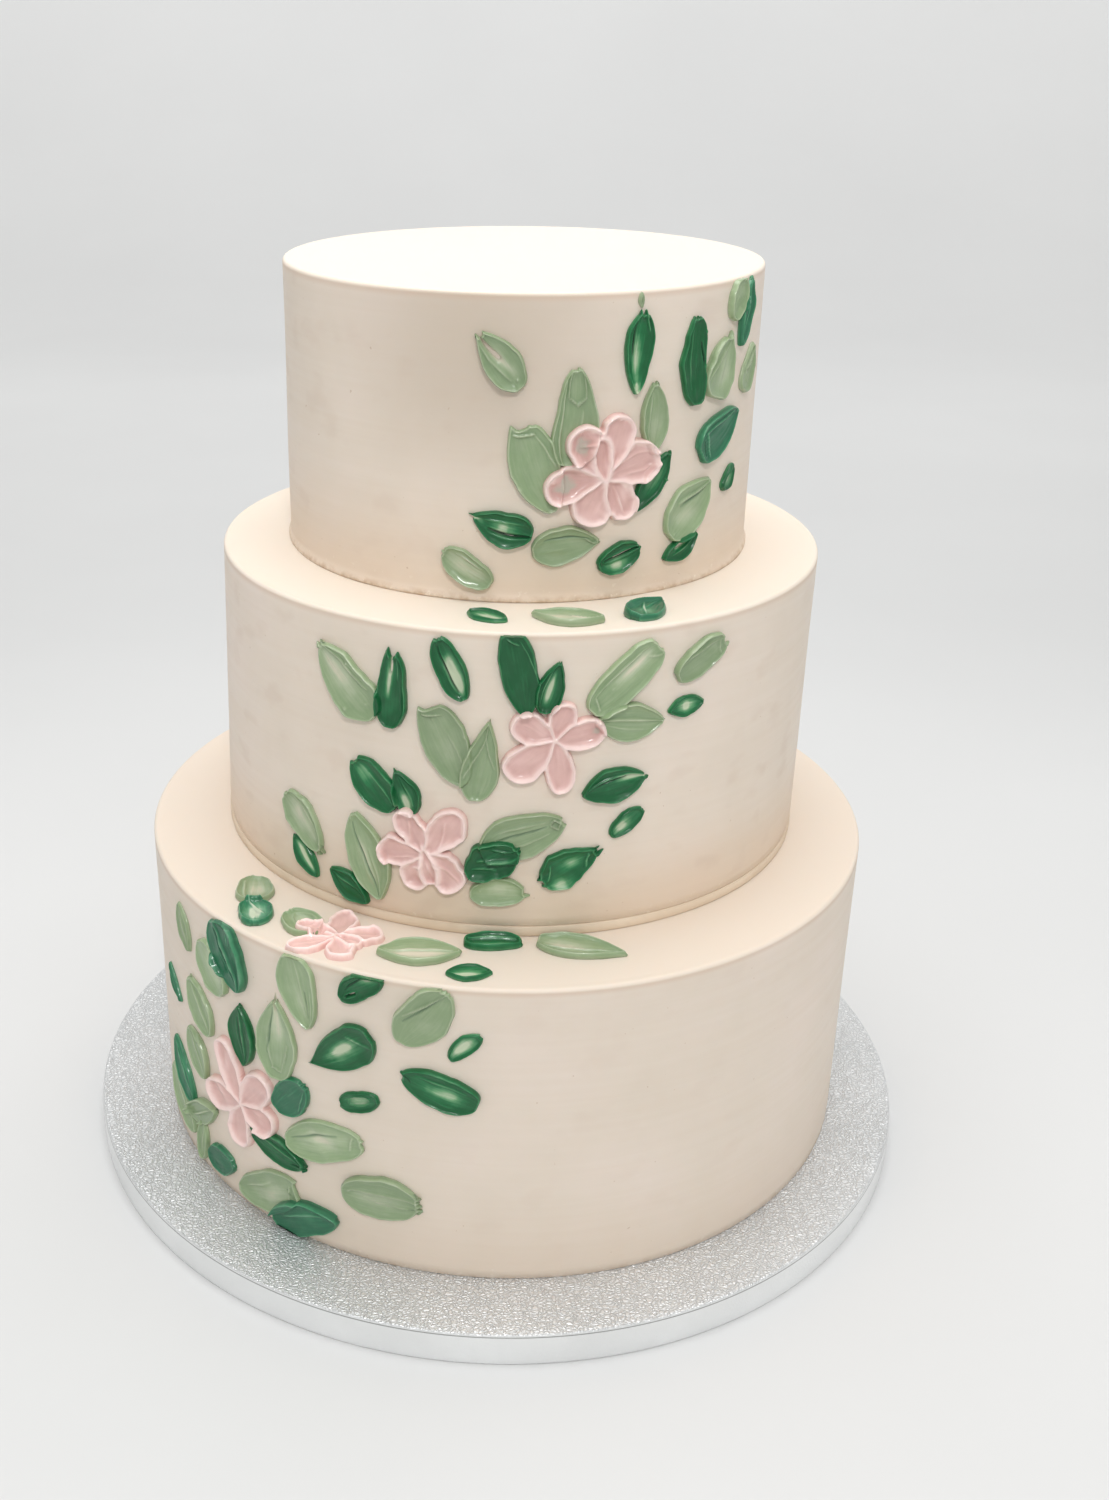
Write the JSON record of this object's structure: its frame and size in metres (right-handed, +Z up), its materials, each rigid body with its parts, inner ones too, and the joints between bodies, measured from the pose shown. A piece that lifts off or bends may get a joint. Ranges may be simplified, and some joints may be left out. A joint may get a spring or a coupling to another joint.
{
  "type": "tiered wedding cake",
  "caption": "Tiered round wedding cake in smooth ivory icing on a silver drum board, with green leaves and pink flowers of buttercream laid on with a palette knife.",
  "frame": {"origin": "centre of the drum board's underside", "axes": "+Z up through the tiers, -Y towards the decorated front, +X to the right as seen from the front"},
  "size_m": [0.3048, 0.3048, 0.3165],
  "materials": {
    "icing": "matte",
    "card": "matte",
    "foil": "satin",
    "petal": "satin",
    "sage_leaf": "satin",
    "green_leaf": "satin"
  },
  "bodies": {
    "root": {"board": "foil", "card_mid": "card", "tier_low": "icing", "tier_mid": "icing", "tier_top": "icing", "flower_top": "petal", "flower_mid_right": "petal", "flower_mid_left": "petal", "flower_low_ledge": "petal", "flower_low": "petal", "leaf_top_slotted": "sage_leaf", "leaf_top_upright": "green_leaf", "leaves_top_behind_flower": "sage_leaf", "leaf_top_over_petal": "sage_leaf", "leaf_top_under_petal": "green_leaf", "leaves_top_right_pair": "green_leaf", "leaves_top_at_rim": "sage_leaf", "leaf_top_teal": "green_leaf", "leaves_top_lower_right": "sage_leaf", "leaf_top_left_dark": "green_leaf", "leaf_top_under_flower": "sage_leaf", "leaf_top_base_dark": "green_leaf", "leaf_top_base_left": "sage_leaf", "leaf_mid_ledge_pale": "sage_leaf", "leaf_mid_ledge_dark": "green_leaf", "leaves_mid_left_pair": "sage_leaf", "leaf_mid_slotted": "green_leaf", "leaves_mid_over_flower": "green_leaf", "leaves_mid_right_pair": "sage_leaf", "leaf_mid_far_right": "sage_leaf", "leaves_mid_middle": "sage_leaf", "leaf_mid_right_dark": "green_leaf", "leaves_mid_left_dark": "green_leaf", "leaf_mid_left_edge": "sage_leaf", "leaf_mid_long": "sage_leaf", "leaf_mid_base_dark": "green_leaf", "leaves_mid_fan": "sage_leaf", "leaf_mid_ragged": "green_leaf", "leaves_low_ledge_pair": "sage_leaf", "leaf_low_ledge_tucked": "sage_leaf", "leaf_low_ledge_long": "sage_leaf", "leaf_low_ledge_dark": "green_leaf", "leaf_low_ledge_right": "sage_leaf", "leaves_low_crossed": "sage_leaf", "leaf_low_far_left": "sage_leaf", "leaf_low_pointed": "sage_leaf", "leaf_low_at_rim": "green_leaf", "leaf_low_dark_upright": "green_leaf", "leaf_low_feathered": "sage_leaf", "leaf_low_round": "sage_leaf", "leaf_low_lit": "green_leaf", "leaf_low_beside_flower": "sage_leaf", "leaves_low_left_edge": "green_leaf", "leaf_low_teal_round": "green_leaf", "leaf_low_right_dark": "green_leaf", "leaf_low_bottom_round": "green_leaf", "leaf_low_tucked": "green_leaf", "leaf_low_wide": "sage_leaf", "leaves_low_bottom_pair": "sage_leaf", "leaf_low_streaked": "sage_leaf"}
  },
  "joints": []
}
